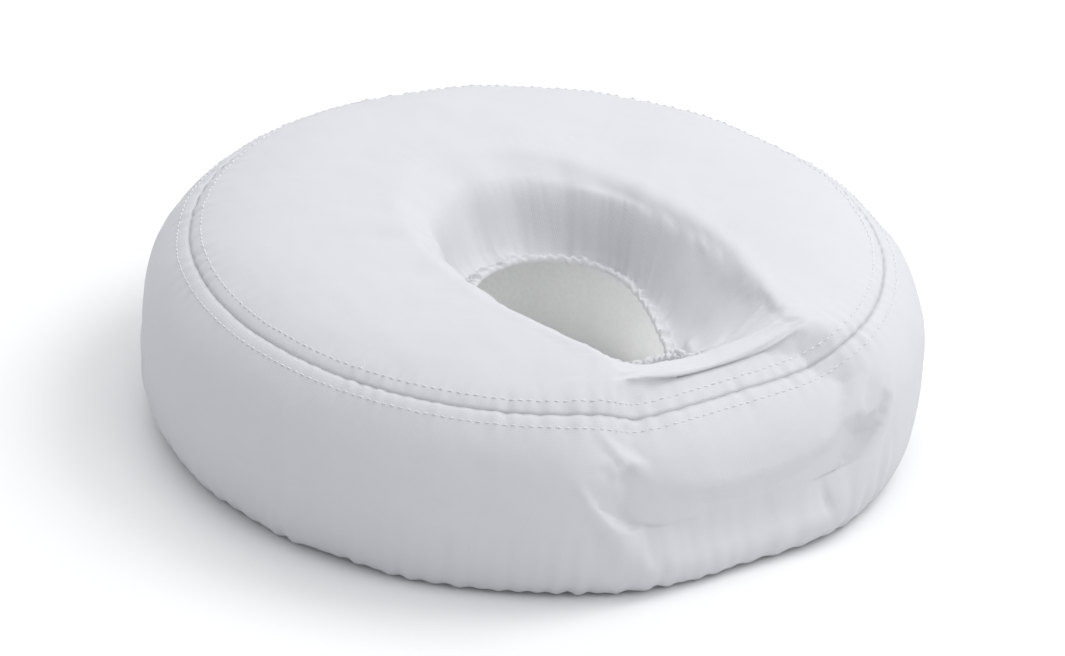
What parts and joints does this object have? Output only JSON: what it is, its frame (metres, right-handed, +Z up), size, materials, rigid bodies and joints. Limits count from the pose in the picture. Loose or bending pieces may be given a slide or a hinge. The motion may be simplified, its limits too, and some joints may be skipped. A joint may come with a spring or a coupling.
{
  "type": "face cradle cushion",
  "caption": "Round padded face rest with a fitted fabric cover: a slot opens over the face hole of a horseshoe cushion, with elastic hem and loop tape below.",
  "frame": {"origin": "on the resting plane, under the middle of the covered cushion", "axes": "+Z up, from the platform towards the face; +Y towards the forehead end; -Y towards the chin end, where the horseshoe is open; +X to one side, alike with the other"},
  "size_m": [0.28, 0.286, 0.08],
  "materials": {
    "cover_cotton": "soft woven cotton, brushed, off white with a cool tint",
    "cover_tape": "plain folded cotton tape",
    "elastic_braid": "flat braided elastic, satin",
    "label_satin": "blank satin ribbon",
    "upholstery": "polyurethane-coated upholstery, fine grain, semi-matt",
    "upholstery_base": "plain polyurethane-coated upholstery, matt",
    "foam_soft": "open-cell foam, matt",
    "foam_firm": "closed foam, matt",
    "loop_pile": "loop tape with a short pile"
  },
  "bodies": {
    "root": {"cover_top_panel": "cover_cotton", "cover_skirt": "cover_cotton", "cover_hem_binding": "cover_tape", "cover_hem_elastic": "elastic_braid", "cover_slot_binding": "cover_tape", "cover_slot_elastic": "elastic_braid", "care_label": "label_satin", "cushion_top_panel": "upholstery", "cushion_outer_band": "upholstery", "cushion_inner_band": "upholstery", "cushion_bottom_panel": "upholstery_base", "comfort_foam": "foam_soft", "base_foam": "foam_firm", "loop_strip_left": "loop_pile", "loop_strip_right": "loop_pile", "loop_strip_crown": "loop_pile"}
  },
  "joints": []
}
